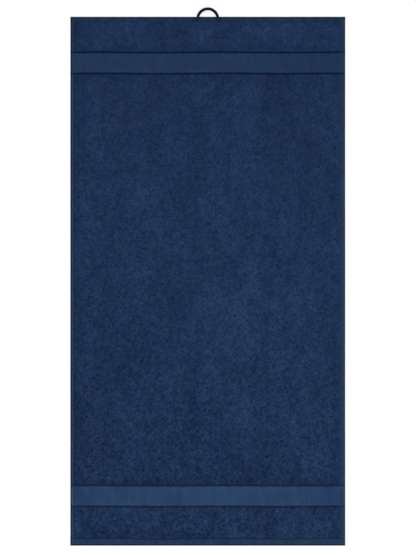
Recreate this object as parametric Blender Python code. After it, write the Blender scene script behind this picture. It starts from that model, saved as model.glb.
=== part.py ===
"""A terry hand towel with a hanging loop, lying flat and face up.

The cloth is one woven length: terry pile on both sides, a flat woven border across it near
each end, a turned hem at each end and a narrow hem down each side. A round braided cord,
sewn by both ends into the middle of the top hem, stands out past it as the hanging loop.

Metres, +Z up, +Y towards the loop, +X to the right seen from above. The origin is on the
surface that the towel lies on, under the middle of the cloth.
"""

import math
from collections import namedtuple

import bmesh
import bpy
from mathutils import Vector

# --- Cloth, driving dimensions ---
CLOTH_WIDTH = 0.510
CLOTH_LENGTH = 0.982

ON_SURFACE = 0.0
PILE_TOP = 0.0042  # both sides' loops and the ground weave between them
GROUND_TOP = 0.0020  # bare ground weave beside a border
GROUND_UNDER = 0.0011
BORDER_TOP = 0.0027  # heavier flat weave of a border
BORDER_UNDER = 0.0010
HEM_TOP = 0.0028  # turned cloth, stitched down
SIDE_HEM_TOP = 0.0025
CORNER_TOP = 0.0034  # where an end hem turns over a side hem
STITCH_TOP = 0.0019  # the stitches draw the cloth together
STITCH_UNDER = 0.0005

# --- Sections of the cloth. The one with no length takes what the others leave ---
Section = namedtuple("Section", "name kind length top under")

ROWS = (  # from the bottom edge to the top edge
    Section("bottom hem", "hem", 0.0120, HEM_TOP, ON_SURFACE),
    Section("bottom hem stitches", "stitch", 0.0025, STITCH_TOP, STITCH_UNDER),
    Section("bottom end pile", "pile", 0.0555, PILE_TOP, ON_SURFACE),
    Section("ground below the lower border", "ground", 0.0040, GROUND_TOP, GROUND_UNDER),
    Section("lower border", "border", 0.0359, BORDER_TOP, BORDER_UNDER),
    Section("ground above the lower border", "ground", 0.0040, GROUND_TOP, GROUND_UNDER),
    Section("field pile", "pile", None, PILE_TOP, ON_SURFACE),
    Section("ground below the upper border", "ground", 0.0040, GROUND_TOP, GROUND_UNDER),
    Section("upper border", "border", 0.0363, BORDER_TOP, BORDER_UNDER),
    Section("ground above the upper border", "ground", 0.0040, GROUND_TOP, GROUND_UNDER),
    Section("top end pile", "pile", 0.0528, PILE_TOP, ON_SURFACE),
    Section("top hem stitches", "stitch", 0.0025, STITCH_TOP, STITCH_UNDER),
    Section("top hem", "hem", 0.0080, HEM_TOP, ON_SURFACE),
)

COLUMNS = (  # from the left edge to the right edge; the weave's heights are those of the rows
    Section("left hem", "hem", 0.0060, SIDE_HEM_TOP, ON_SURFACE),
    Section("left hem stitches", "stitch", 0.0020, STITCH_TOP, STITCH_UNDER),
    Section("weave", "weave", None, None, None),
    Section("right hem stitches", "stitch", 0.0020, STITCH_TOP, STITCH_UNDER),
    Section("right hem", "hem", 0.0080, SIDE_HEM_TOP, ON_SURFACE),
)

JOIN_SLOPE = 0.0012  # run of the slope between two sections
EDGE_ROUNDING = 0.0010  # run over which a hem's fold rounds off at the outline
EDGE_HEIGHT_SHARE = 0.6  # of the hem's height, left at the outline itself
ROW_STEP = 0.034  # spacing of the lines inside a long section
COLUMN_STEP = 0.030

# --- Unevenness. The wavelengths are those across and along the cloth ---
Wave = namedtuple("Wave", "height across along phase")

PILE_SWELLS = (
    Wave(0.00014, 0.210, 0.380, 0.4),
    Wave(0.00010, 0.095, -0.240, 1.9),
    Wave(0.00008, -0.140, 0.115, 3.1),
)
LINE_BOW = Wave(0.00040, 0.225, math.inf, 0.86)  # a border's lines waver along the cloth
EDGE_BOW = Wave(0.00025, math.inf, 0.430, 1.2)  # the side edges waver across it

# --- Hanging loop, driving dimensions ---
CORD_DIAMETER = 0.0048
LOOP_RADIUS = 0.01865  # of the cord's centre line
LOOP_CENTRE_DEPTH = 0.0040  # below the top hem's edge
LOOP_STEPS = 17  # odd, so that one of them lies square across the crown
SEWN_DIAMETER = 0.0032  # the cord pressed flat in the hem
TAIL_BEND_RADIUS = 0.0096
TAIL_BEND = math.radians(50)  # each sewn end turns outwards
TAIL_STEPS = 5
RISE_START = -0.0060  # depths below the hem's edge; outside it they are negative
TAPER_START = -0.0030
TAPER_END = 0.0015
ROUND_RESOLUTION = 4  # of a curve's bevel, which makes 12 sides
ROUND_SIDES = 12

# --- Where the cord is sewn in ---
CLEARANCE = 0.0003  # between the cord and the hem around it
TUNNEL_END = 0.0006  # space past the cord's end, whose rim turns
SLEEVE_WALL = 0.0006  # hem cloth drawn round the cord
SLEEVE_LIP = 0.0004  # how far that cloth stands out past the hem's edge
SLEEVE_REST = 0.0001  # height of the sleeve over the surface
SLEEVE_END = 0.0018  # closed end of the sleeve past the cord's end
SLEEVE_END_SHARE = 0.45  # of the sleeve's radius, left at that end

# --- Finish ---
CLOTH_COLOUR = (0.0140, 0.0325, 0.0820, 1.0)
CORD_COLOUR = (0.0030, 0.0075, 0.0210, 1.0)
CLOTH_ROUGHNESS = 0.95
CORD_ROUGHNESS = 0.80


def clear_scene():
    """Removes every object of the open scene."""
    for obj in list(bpy.data.objects):
        bpy.data.objects.remove(obj, do_unlink=True)


def new_collection(name):
    collection = bpy.data.collections.new(name)
    bpy.context.scene.collection.children.link(collection)
    return collection


def plain_material(name, colour, roughness):
    """A Principled material of one colour, not metallic."""
    material = bpy.data.materials.new(name)
    material.use_nodes = True
    shader = material.node_tree.nodes["Principled BSDF"]
    shader.inputs["Base Color"].default_value = colour
    shader.inputs["Roughness"].default_value = roughness
    shader.inputs["Metallic"].default_value = 0.0
    return material


def smooth_share(value, low, high):
    """0 up to low, 1 from high on, and a smooth S between them."""
    share = min(max((value - low) / (high - low), 0.0), 1.0)
    return share * share * (3.0 - 2.0 * share)


def wave_at(wave, x, y):
    """Height of a sine wave that runs both across and along the cloth."""
    return wave.height * math.sin(math.tau * (x / wave.across + y / wave.along) + wave.phase)


# --- Cloth ---


def with_lengths(sections, total):
    """The same sections, the one with no length given what the others leave of the total."""
    known = sum(section.length for section in sections if section.length is not None)
    return [
        section if section.length is not None else section._replace(length=total - known)
        for section in sections
    ]


def section_lines(sections, total, step):
    """(position, section, on_outline) of each line of the grid, from one edge to the other.

    A section's lines start and end half a slope inside its joins, with more between where it
    is long. The two outermost lines lie on the outline, a rounding away from the next ones.
    """
    lines = []
    start = -total / 2
    last = len(sections) - 1
    for i, section in enumerate(sections):
        end = start + section.length
        low = start + (EDGE_ROUNDING if i == 0 else JOIN_SLOPE / 2)
        high = end - (EDGE_ROUNDING if i == last else JOIN_SLOPE / 2)
        steps = max(1, round((high - low) / step))
        if i == 0:
            lines.append((start, section, True))
        lines += [(low + (high - low) * k / steps, section, False) for k in range(steps + 1)]
        if i == last:
            lines.append((end, section, True))
        start = end
    return lines


def section_heights(row, column):
    """(top, under) of the cloth where a row of it crosses a column."""
    if column.kind == "weave" or row.kind == "stitch":
        return row.top, row.under
    if row.kind == "hem":
        return (CORNER_TOP if column.kind == "hem" else row.top), row.under
    return column.top, column.under


def cloth_object():
    """The cloth: a grid on the lines of its sections, given its top, then drawn down to its
    underside, which stays flat on the surface under the pile and the hems."""
    columns = section_lines(with_lengths(COLUMNS, CLOTH_WIDTH), CLOTH_WIDTH, COLUMN_STEP)
    rows = section_lines(with_lengths(ROWS, CLOTH_LENGTH), CLOTH_LENGTH, ROW_STEP)
    bm = bmesh.new()
    bmesh.ops.create_grid(bm, x_segments=len(columns) - 1, y_segments=len(rows) - 1, size=0.5)
    underside = bm.verts.layers.float.new("underside")
    for vertex in bm.verts:
        x, column, on_side = columns[round((vertex.co.x + 0.5) * (len(columns) - 1))]
        y, row, on_end = rows[round((vertex.co.y + 0.5) * (len(rows) - 1))]
        top, under = section_heights(row, column)
        if on_side or on_end:
            top *= EDGE_HEIGHT_SHARE
        elif row.kind == "pile" and column.kind == "weave":
            top += sum(wave_at(wave, x, y) for wave in PILE_SWELLS)
        bow = 0.0 if on_end else wave_at(LINE_BOW, x, y)
        vertex.co = Vector((x + wave_at(EDGE_BOW, x, y), y + bow, top))
        vertex[underside] = under
    drawn = bmesh.ops.extrude_face_region(bm, geom=bm.faces[:])
    for item in drawn["geom"]:
        if isinstance(item, bmesh.types.BMVert):
            item.co.z = item[underside]
    bmesh.ops.recalc_face_normals(bm, faces=bm.faces[:])
    mesh = bpy.data.meshes.new("towel_cloth")
    bm.to_mesh(mesh)
    bm.free()
    mesh.materials.append(plain_material("terry_cotton", CLOTH_COLOUR, CLOTH_ROUGHNESS))
    return bpy.data.objects.new("towel_cloth", mesh)


# --- Hanging loop ---


def cord_radius(depth):
    """Radius of the cord at a depth below the hem's edge: full outside, pressed inside."""
    share = smooth_share(depth, TAPER_START, TAPER_END)
    return (CORD_DIAMETER + (SEWN_DIAMETER - CORD_DIAMETER) * share) / 2


def sleeve_radius(depth):
    """Radius of the hem cloth that is drawn round the cord."""
    return cord_radius(depth) + CLEARANCE + SLEEVE_WALL


def cord_height(depth):
    """Height of the cord's centre: it lies on the surface outside, and rises before the
    hem's edge to lie on the sleeve's wall inside."""
    rise = (SLEEVE_REST + SLEEVE_WALL + CLEARANCE) * smooth_share(depth, RISE_START, -SLEEVE_LIP)
    return cord_radius(depth) + rise


def entry_angle():
    """Angle, from the loop's centre, at which the cord crosses the hem's edge."""
    return math.asin(LOOP_CENTRE_DEPTH / LOOP_RADIUS)


def tail_plan(run_out):
    """Points of the right sewn end in plan, from the hem's edge inwards: an arc that turns
    outwards, then straight on by run_out. The first point is on the loop's own circle."""
    heading = entry_angle()  # from straight down, outwards
    x = LOOP_RADIUS * math.cos(heading)
    y = CLOTH_LENGTH / 2
    chord = 2 * TAIL_BEND_RADIUS * math.sin(TAIL_BEND / TAIL_STEPS / 2)
    points = [(x, y)]
    for k in range(TAIL_STEPS):
        toward = heading + TAIL_BEND * (k + 0.5) / TAIL_STEPS
        x += chord * math.sin(toward)
        y -= chord * math.cos(toward)
        points.append((x, y))
    if run_out:
        toward = heading + TAIL_BEND
        points.append((x + run_out * math.sin(toward), y - run_out * math.cos(toward)))
    return points


def arc_plan():
    """Points of the free half ring in plan, from the right end of it to the left end."""
    first = entry_angle()
    turn = (math.pi - 2 * first) / LOOP_STEPS
    centre = CLOTH_LENGTH / 2 - LOOP_CENTRE_DEPTH
    return [
        (
            LOOP_RADIUS * math.cos(first + turn * k),
            centre + LOOP_RADIUS * math.sin(first + turn * k),
        )
        for k in range(LOOP_STEPS + 1)
    ]


def mirrored(points):
    """The same points on the other side of the cloth's middle line."""
    return [(-x, y) for x, y in points]


def route(plan, radius_at):
    """(place, radius) of each plan point, with the cord's height and radius at its depth."""
    depths = [CLOTH_LENGTH / 2 - y for _, y in plan]
    return [
        (Vector((x, y, cord_height(depth))), radius_at(depth))
        for (x, y), depth in zip(plan, depths)
    ]


def round_curve(name, points):
    """A round tube along (place, radius) points, closed at both ends, a flat side up."""
    curve = bpy.data.curves.new(name, "CURVE")
    curve.dimensions = "3D"
    curve.twist_mode = "Z_UP"
    curve.bevel_depth = 1.0 / math.cos(math.pi / ROUND_SIDES)
    curve.bevel_resolution = ROUND_RESOLUTION
    curve.use_fill_caps = True
    spline = curve.splines.new("POLY")
    spline.points.add(len(points) - 1)
    for point, (place, radius) in zip(spline.points, points):
        point.co = (*place, 1.0)
        point.radius = radius
        point.tilt = math.pi / ROUND_SIDES
    return bpy.data.objects.new(name, curve)


def loop_object():
    """The hanging loop: one sewn end, the free half ring and the other sewn end."""
    right = tail_plan(0.0)[:0:-1]
    plan = right + arc_plan() + mirrored(tail_plan(0.0)[1:])
    loop = round_curve("hanging_loop", route(plan, cord_radius))
    loop.data.materials.append(plain_material("braided_cord", CORD_COLOUR, CORD_ROUGHNESS))
    return loop


# --- Sewing the loop in ---


def welded_mesh_object(curve_object, collection):
    """A mesh object in the curve's place, its caps welded to its sides."""
    bpy.context.view_layer.update()
    graph = bpy.context.evaluated_depsgraph_get()
    mesh = bpy.data.meshes.new_from_object(curve_object.evaluated_get(graph))
    bm = bmesh.new()
    bm.from_mesh(mesh)
    bmesh.ops.remove_doubles(bm, verts=bm.verts[:], dist=1e-6)
    bmesh.ops.recalc_face_normals(bm, faces=bm.faces[:])
    bm.to_mesh(mesh)
    bm.free()
    name = curve_object.name
    welded = bpy.data.objects.new(name + "_tool", mesh)
    welded.matrix_world = curve_object.matrix_world
    bpy.data.objects.remove(curve_object, do_unlink=True)
    collection.objects.link(welded)
    welded.hide_render = True
    welded.display_type = "WIRE"
    return welded


def tunnel_radius(depth):
    """Radius of the space that the cord lies in."""
    return cord_radius(depth) + CLEARANCE


def tunnel_points(mirror):
    """The space for a sewn end, from the free half ring to just past the cord's end."""
    plan = [arc_plan()[1]] + tail_plan(TUNNEL_END)
    return route(mirrored(plan) if mirror else plan, tunnel_radius)


def sleeve_points(mirror):
    """The hem cloth round a sewn end, from its lip to its closed end past the cord's end."""
    plan = tail_plan(SLEEVE_END)
    edge, outside = Vector(plan[0]), Vector(arc_plan()[1])
    lip = edge.lerp(outside, SLEEVE_LIP / (outside.y - edge.y))
    plan = [tuple(lip)] + plan
    points = route(mirrored(plan) if mirror else plan, sleeve_radius)
    place, radius = points[-1]
    points[-1] = (place, radius * SLEEVE_END_SHARE)
    return points


def sew_in(cloth, tools):
    """Adds a sleeve of hem cloth for each end of the cord, then opens the tunnel it lies in."""
    for side, mirror in (("right", False), ("left", True)):
        for what, points, operation in (
            ("sleeve", sleeve_points(mirror), "UNION"),
            ("tunnel", tunnel_points(mirror), "DIFFERENCE"),
        ):
            curve = round_curve(f"{side}_{what}", points)
            tools.objects.link(curve)
            boolean = cloth.modifiers.new(f"{side}_{what}", "BOOLEAN")
            boolean.operation = operation
            boolean.solver = "EXACT"
            boolean.object = welded_mesh_object(curve, tools)


def main():
    clear_scene()
    parts = new_collection("hand_towel")
    tools = new_collection("sewing_tools")
    cloth = cloth_object()
    parts.objects.link(cloth)
    parts.objects.link(loop_object())
    sew_in(cloth, tools)


main()
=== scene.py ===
"""Looks of a terry hand towel with a hanging loop, laid flat and face up.

The script is laid out as an add-on: sizes and colours are properties, and one operator makes
each piece. The woven cloth carries the hems, the borders and the bare ground beside them. The
pile stands on it in sections, the hems and the loop's ends are stitched, and the loop is a
braided cord. Metres, +Z up, +Y towards the loop, +X to the right seen from above.
"""

import math

import bpy
import numpy as np
from bpy.props import FloatProperty, FloatVectorProperty, IntProperty, PointerProperty
from mathutils import Matrix, Vector


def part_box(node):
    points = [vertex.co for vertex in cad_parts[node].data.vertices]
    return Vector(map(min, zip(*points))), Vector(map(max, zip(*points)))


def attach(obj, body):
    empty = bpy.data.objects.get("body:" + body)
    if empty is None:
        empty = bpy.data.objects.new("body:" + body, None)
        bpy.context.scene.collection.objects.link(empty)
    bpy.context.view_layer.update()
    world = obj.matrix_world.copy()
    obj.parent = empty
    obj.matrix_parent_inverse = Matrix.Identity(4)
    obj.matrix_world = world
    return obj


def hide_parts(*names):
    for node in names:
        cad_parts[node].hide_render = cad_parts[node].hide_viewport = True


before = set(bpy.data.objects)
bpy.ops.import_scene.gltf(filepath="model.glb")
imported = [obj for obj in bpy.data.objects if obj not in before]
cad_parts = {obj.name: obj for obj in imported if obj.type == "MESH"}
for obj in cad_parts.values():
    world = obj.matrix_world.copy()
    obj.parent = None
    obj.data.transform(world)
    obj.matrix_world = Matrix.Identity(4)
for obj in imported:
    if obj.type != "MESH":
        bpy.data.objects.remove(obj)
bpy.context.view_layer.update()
CLOTH_LOW, CLOTH_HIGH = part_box("towel_cloth")

bl_info = {
    "name": "Terry Hand Towel",
    "version": (1, 0, 0),
    "blender": (4, 5, 0),
    "location": "3D View > Sidebar > Hand Towel",
    "description": "Makes a flat terry hand towel with woven borders, stitched hems and a hanging loop",
    "category": "Object",
}

BODY = "root"
BAKE_MAP = "OFBake"
# first: painted shade and light with each piece's own tone; second: the pile's broad tone and painted
# light
SHADE, TONE_AND_LIGHT = "shade", "tone_and_light"
MAP_MARGIN = 0.004  # share of the map left free round each face's share of it
PICTURE = (416, 555)  # pixels
JOIN_SLOPE = 0.0011  # length of the slope between two sections of the cloth
NOISE_REACH = 0.6  # the noise lattice covers this far to each side of the origin
SIDE_BOW, SIDE_BOW_LENGTH, SIDE_BOW_PHASE = 0.00005, 0.430, 1.2  # how the side edges waver
SIDE_BOW_ZONE = (0.15, 0.25)  # between these places across, that wavering sets in
ROW_BOW, ROW_BOW_LENGTH, ROW_BOW_PHASE = 0.00040, 0.225, 0.86  # how the rows waver
ROW_JOLTS = ((0.00012, 0.016, 1.0, 5),)  # height, cell, pace, seed
ROW_BOW_RUN = 0.010  # over this run at each end, the rows' wavering sets in


# --- Properties ---


def measure(name, description, default, **limits):
    """A measure, in its own unit if it has one."""
    return FloatProperty(name=name, description=description, default=default, **limits)


def size(name, description, default):
    """A length in metres."""
    return measure(name, description, default, min=0.0, precision=5, unit="LENGTH")


def share(name, description, default):
    """A share from 0 to 1."""
    return measure(name, description, default, min=0.0, max=1.0, subtype="FACTOR")


def colour(name, description, default):
    """A linear colour."""
    return FloatVectorProperty(
        name=name, description=description, default=default, min=0.0, max=1.0, subtype="COLOR"
    )


class ClothSizes(bpy.types.PropertyGroup):
    """Sizes of the woven cloth, from its outline inwards."""

    width: size("Width", "From side edge to side edge", CLOTH_HIGH.x - CLOTH_LOW.x - 2 * SIDE_BOW)
    length: size("Length", "From end edge to end edge", -2 * CLOTH_LOW.y)
    bottom_hem: size("Bottom hem", "Width of the turned hem at the bottom end", 0.0120)
    top_hem: size("Top hem", "Width of the turned hem at the top end", 0.0080)
    left_hem: size("Left hem", "Width of the left side hem", 0.0060)
    right_hem: size("Right hem", "Width of the right side hem", 0.0080)
    gutter: size("Stitch line", "Width that an end hem's stitches draw down", 0.0025)
    side_gutter: size("Side stitch line", "Width that a side hem's stitches draw down", 0.0020)
    bottom_end: size("Bottom end pile", "Pile between bottom hem and border", 0.0560)
    top_end: size("Top end pile", "Pile between top hem and border", 0.0533)
    lower_border: size("Lower border", "Width of the lower woven border", 0.0357)
    upper_border: size("Upper border", "Width of the upper woven border", 0.0358)
    groove: size("Groove", "Bare ground on each side of a border", 0.0040)
    hem_top: size("Hem height", "Top of an end hem", 0.0028)
    side_hem_top: size("Side hem height", "Top of a side hem", 0.0025)
    corner_top: size("Corner height", "Top where an end hem is turned over a side hem", 0.0034)
    gutter_top: size("Stitch line height", "Top of the cloth under the stitches", 0.0019)
    gutter_under: size("Stitch line underside", "Underside of the cloth at the stitches", 0.0005)
    ground_top: size("Ground height", "Top of the bare ground weave", 0.0019)
    ground_under: size("Ground underside", "Underside of the ground weave", 0.0011)
    border_top: size("Border height", "Top of a woven border", 0.0027)
    border_under: size("Border underside", "Underside of a woven border", 0.0010)


class PileSizes(bpy.types.PropertyGroup):
    """Sizes of the looped pile."""

    pitch: size("Pitch", "From one tuft of loops to the next", 0.00175)
    top: size("Height", "Mean height of the loops' tips", 0.0042)
    foot: size("Foot", "Height at which the pile leaves the ground weave", 0.0016)
    round_run: size("Edge run", "Run over which the pile's edge rounds off", 0.0022)
    clump: size("Clumps", "Height of the clumps that loops lean into", 0.00016)
    tuft: size("Tufts", "Height that neighbouring tufts differ by", 0.00028)
    stray: size("Strays", "Height that single loops differ by", 0.00014)
    lean: size("Lean", "How far the pile leans over the bare weave beside it", 0.0010)
    back_share: share("Pressed back", "How much of that height the underside keeps", 0.45)
    # painted shade: the hollows are painted darker and the tips lighter by this share
    contrast: share("Hollow shade", "How much darker the hollows are than the tips", 0.60)


class LoopSizes(bpy.types.PropertyGroup):
    """Sizes of the hanging loop and of the hem over its ends."""

    diameter: size("Cord", "Diameter of the braided cord", 0.0048)
    radius: size("Loop radius", "Radius of the cord's centre line", 0.01865)
    centre_depth: size("Centre depth", "Depth of the ring's centre below the hem's edge", 0.0040)
    sewn: size("Sewn cord", "Height of the cord pressed inside the hem", 0.0032)
    tail_radius: size("Tail radius", "Radius on which a sewn end turns outwards", 0.0096)
    tail_bend: measure(
        "Tail bend", "Angle by which a sewn end turns outwards", math.radians(50), subtype="ANGLE"
    )
    rise: size("Rise", "How far the cord rises to enter the hem", 0.0010)
    cover: size("Cover", "Hem cloth over the sewn cord", 0.0006)
    strands: IntProperty(
        name="Strands", description="Strands that wind each way", default=8, min=3
    )
    stitch: size("Crossing", "Length of cord between two crossings of the braid", 0.00225)
    relief: size("Relief", "Depth of the braid's hollows", 0.00042)


class StitchSizes(bpy.types.PropertyGroup):
    """Sizes of the sewing stitches."""

    pitch: size("Stitch pitch", "From one stitch to the next", 0.0032)
    length: size("Stitch length", "Length of one stitch", 0.0027)
    thread: size("Thread", "Radius of the sewing thread", 0.00024)
    tack_length: size("Tack length", "Length of a tack stitch over the loop's end", 0.0052)
    tack_pitch: size("Tack pitch", "From one tack stitch to the next", 0.00065)


class TowelColours(bpy.types.PropertyGroup):
    """Colours of the yarns, as linear values."""

    terry: colour("Terry", "Looped pile", (0.0144, 0.0350, 0.0900))
    # the ground yarn's own tone, darkened further as painted shade for the grooves where it shows
    ground: colour("Ground", "Bare weave beside the borders", (0.0095, 0.0270, 0.0740))
    upper_border: colour("Upper border", "Woven border by the loop", (0.0143, 0.0334, 0.0827))
    # the same yarn as the upper border, made lighter as painted sheen caught from the key light
    lower_border: colour("Lower border", "Other woven border", (0.0208, 0.0489, 0.1140))
    end_hem: colour("End hems", "Turned cloth of the end hems", (0.0130, 0.0320, 0.0770))
    side_hem: colour("Side hems", "Turned cloth of the side hems", (0.0150, 0.0345, 0.0830))
    thread: colour("Thread", "Sewing thread", (0.0130, 0.0320, 0.0770))
    cord: colour("Cord", "Braided cord", (0.0007, 0.0081, 0.0280))


class StageSettings(bpy.types.PropertyGroup):
    """Camera, floor and lights."""

    scale: size("Scale", "Length of cloth that one pixel of the picture shows", 0.0018565)
    camera_x: measure("Camera X", "Camera over the cloth, across", 0.00038, unit="LENGTH")
    camera_y: measure("Camera Y", "Camera over the cloth, along", 0.00692, unit="LENGTH")
    lens: measure("Lens", "Focal length", 100.0, unit="CAMERA")
    key: measure("Key light", "Strength of the soft light from the bottom end", 1.25)
    fill: measure("Fill light", "Strength of the softer light from the loop's end", 0.60)
    overhead: measure("Overhead", "Power of the soft light above", 18.0, unit="POWER")
    glow: share("Glow", "How brightly the floor glows by itself, like a light table", 0.50)
    sky: colour("Surroundings", "Light from all round", (0.54, 0.54, 0.54))
    floor: colour("Floor", "Plain floor", (0.50, 0.50, 0.50))


# --- Formulas that the surfaces share ---


def smooth_step(value, low, high):
    """0 up to low, 1 from high on, and a smooth S between them."""
    part = np.clip((value - low) / (high - low), 0.0, 1.0)
    return part * part * (3.0 - 2.0 * part)


def hump(value, centre, half_width):
    """1 at the centre, falling on a bell curve, and about a third at the half width."""
    return np.exp(-(((value - centre) / half_width) ** 2))


def quarter_round(distance, run):
    """Height share of a quarter circle: 0 at distance 0, 1 from one run on."""
    part = np.clip(distance / run, 0.0, 1.0)
    return np.sqrt(1.0 - (1.0 - part) ** 2)


def stepped(place, joins, values):
    """Value of sections laid end to end: the first one's, with each later change taken on a
    smooth S that is one join's slope long and centred on the join."""
    result = np.full(np.shape(place), float(values[0]))
    for join, before, after in zip(joins[1:-1], values[:-1], values[1:]):
        low, high = join - JOIN_SLOPE / 2, join + JOIN_SLOPE / 2
        result += (after - before) * smooth_step(place, low, high)
    return result


def lattice_noise(x, y, cell, seed):
    """A random value from -1 to 1 at each corner of a square lattice, blended between the
    corners by a smooth S along each side of its cell."""
    count = math.ceil(2 * NOISE_REACH / cell) + 2
    table = np.random.default_rng(seed).uniform(-1.0, 1.0, (count, count))
    across, along = (x + NOISE_REACH) / cell, (y + NOISE_REACH) / cell
    i, j = np.floor(across).astype(int), np.floor(along).astype(int)
    u, v = smooth_step(across - i, 0.0, 1.0), smooth_step(along - j, 0.0, 1.0)
    low = table[j, i] * (1 - u) + table[j, i + 1] * u
    high = table[j + 1, i] * (1 - u) + table[j + 1, i + 1] * u
    return low * (1 - v) + high * v


def layered_noise(x, y, layers):
    """The sum of lattice noises, each with its height, its cell, its pace along the cloth,
    which is less than 1 where it is longer than wide, and its seed."""
    return sum(height * lattice_noise(x, pace * y, cell, seed) for height, cell, pace, seed in layers)


def wave(place, height, length, phase):
    """A sine of the given height and length."""
    return height * np.sin(math.tau * place / length + phase)


def row_bow(x):
    """How far the rows of the cloth waver along it: a sine across the cloth and a finer noise."""
    return wave(x, ROW_BOW, ROW_BOW_LENGTH, ROW_BOW_PHASE) + layered_noise(x, 0 * x, ROW_JOLTS)


def side_bow(y):
    """How far the side edges waver across the cloth: a sine along it."""
    return wave(y, SIDE_BOW, SIDE_BOW_LENGTH, SIDE_BOW_PHASE)


# --- Layout of the cloth ---


def row_joins(cloth):
    """Places along the cloth where one section ends and the next starts, both edges included."""
    low, high = (
        np.cumsum((0.0, hem, cloth.gutter, pile, cloth.groove, border, cloth.groove))
        for hem, pile, border in (
            (cloth.bottom_hem, cloth.bottom_end, cloth.lower_border),
            (cloth.top_hem, cloth.top_end, cloth.upper_border),
        )
    )
    return np.concatenate([low - cloth.length / 2, cloth.length / 2 - high[::-1]])


def column_joins(cloth):
    """Places across the cloth where a side hem, its stitch line and the weave meet."""
    half = cloth.width / 2
    left = np.cumsum((0.0, cloth.left_hem, cloth.side_gutter)) - half
    right = half - np.cumsum((0.0, cloth.right_hem, cloth.side_gutter))
    return np.concatenate([left, right[::-1]])


# In the grooves the shade is painted shade where pile and borders shadow the bare ground, deepest by the
# upper border;
ROWS = (  # sections along the cloth: kind, shade, shade on the side hems beside them
    # at the top stitch line it is painted light that lifts the shadow of the pile beside it.
    ("hem", 1.20, 1.02),
    ("gutter", 0.98, 0.97),
    ("ground", 1.0, 1.0),
    ("groove", 0.86, 0.58),
    ("lower border", 1.0, 1.0),
    ("groove", 0.80, 0.58),
    ("ground", 1.0, 1.0),
    ("groove", 0.45, 0.48),
    ("upper border", 1.0, 1.0),
    ("groove", 0.45, 0.48),
    ("ground", 1.0, 1.0),
    ("gutter", 1.14, 0.99),
    ("hem", 1.0, 1.0),
)
# The side stitch lines' shades are painted: shade on the left, and on the right light that lifts the
# pile's shadow.
COLUMNS = (  # sections across it: kind, shade
    ("side hem", 1.0),
    ("side gutter", 0.90),
    ("weave", 1.0),
    ("side gutter", 1.28),
    ("side hem", 0.92),
)
ROW_KINDS, ROW_SHADES, SIDE_ROW_SHADES = zip(*ROWS)
COLUMN_KINDS, COLUMN_SHADES = zip(*COLUMNS)
BORDERS = [row for row, kind in enumerate(ROW_KINDS) if "border" in kind]
OUTLINE_SHADES = (  # painted shade of the fold: how dark, how far in; painted highlight on its crest: how light, how far in, half width
    ("left", 0.77, 0.0023, 0.58, 0.0038, 0.0014),
    ("right", 0.5, 0.0011, 0.50, 0.0, 0.0070),
    ("bottom", 0.80, 0.0024, 0.06, 0.0042, 0.0016),
    ("top", 0.50, 0.0030, 0.04, 0.0047, 0.0010),
)
OUTLINE_BLEND = 0.0008  # half the run over which a fold's painted shade ends
CREST_HIGHLIGHT_DULLS = {"left": (0.37, 0.45), "right": (0.10, 0.45)}  # the crests' painted highlight dulls between these places along
CREST_HIGHLIGHT_DULL = 0.8  # how much of a side's crest highlight is gone from there on
SIDE_SHADE_LOSS = 0.6  # how much of the stitch lines' and side hems' own shade an end hem takes
SIDE_GUTTER_LOSS = 0.7  # how much of a side's stitch line an end hem takes up
GUTTER_AT_BORDER = 0.35  # how much painted light lifts a side stitch line's shadow beside a border
BORDER_AT_HEMS = (1.45, 1.12)  # how light the lower border is on the left and the right hem
BORDER_FADE = 0.13  # how much a border darkens towards its ends
LOWER_FADE_ZONE = (0.19, 0.25)  # between these places across, on both sides
UPPER_FADE_ZONE = (0.05, 0.25)  # between these, on the right
BORDER_EDGE_HIGHLIGHT = (0.24, 0.0014, 0.0010)  # painted highlight by a border's lower edge: how light, how far in, half width
BORDER_LINE = (0.00016, 0.0012, 0.0007)  # height of the line by each edge, how far in, half width
PUCKERS = ((0.00013, 0.0052, 1.0, 11), (0.000078, 0.0110, 1.0, 12))  # height, cell, pace, seed
RIPPLES = ((0.00012, 0.017, 0.35, 13), (0.000084, 0.048, 0.30, 14))
FOLD_ROUND = 0.0014
FOLD_EDGE_SHARE = 0.22  # of a hem's thickness, left as the rim at the outline


def weight(place, joins, kinds, *wanted):
    """1 in the sections of the wanted kinds and 0 in the rest, with a smooth S at each join."""
    return stepped(place, joins, [float(kind in wanted) for kind in kinds])


def tail_plan(loop, edge, count):
    """A sewn end of the cord in plan, right side, from the hem's edge inwards: an arc that
    starts along the ring and turns outwards by the bend."""
    entry = math.asin(loop.centre_depth / loop.radius)
    heading = entry + loop.tail_bend * np.linspace(0.0, 1.0, count)
    x = loop.radius * math.cos(entry) + loop.tail_radius * (math.cos(entry) - np.cos(heading))
    y = edge - loop.tail_radius * (np.sin(heading) - math.sin(entry))
    return np.stack([x, y], axis=-1)


TAPER_START, TAPER_END = -0.0012, 0.0030  # depths below the hem's edge
RISE_START, RISE_END = -0.0060, -0.0004
LUMP_HALF_WIDTH = 0.0021
LUMP_POINTS = 24  # of a sewn end, on which the hem's rise stands
LUMP_ACROSS, LUMP_ALONG = 0.014, 0.018  # how far a lump is felt
BRAID_OUT = 0.85  # share of the braid's relief that stands outside the cord's diameter
# painted shadow in the crease round a sewn end: how far from its centre line, half width, how dark
CREASE_DISTANCE, CREASE_HALF_WIDTH, CREASE_SHADOW = 0.0034, 0.0012, 0.38


def cord_radius(loop, depth):
    """Radius of the cord: full outside the hem, pressed inside it, on a smooth S between."""
    return (loop.diameter + (loop.sewn - loop.diameter) * smooth_step(depth, TAPER_START, TAPER_END)) / 2


def cord_height(loop, depth):
    """Height of the cord's centre: on the surface outside, risen by one rise inside the hem."""
    outermost = cord_radius(loop, depth) + BRAID_OUT * loop.relief
    return outermost + loop.rise * smooth_step(depth, RISE_START, RISE_END)


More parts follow.
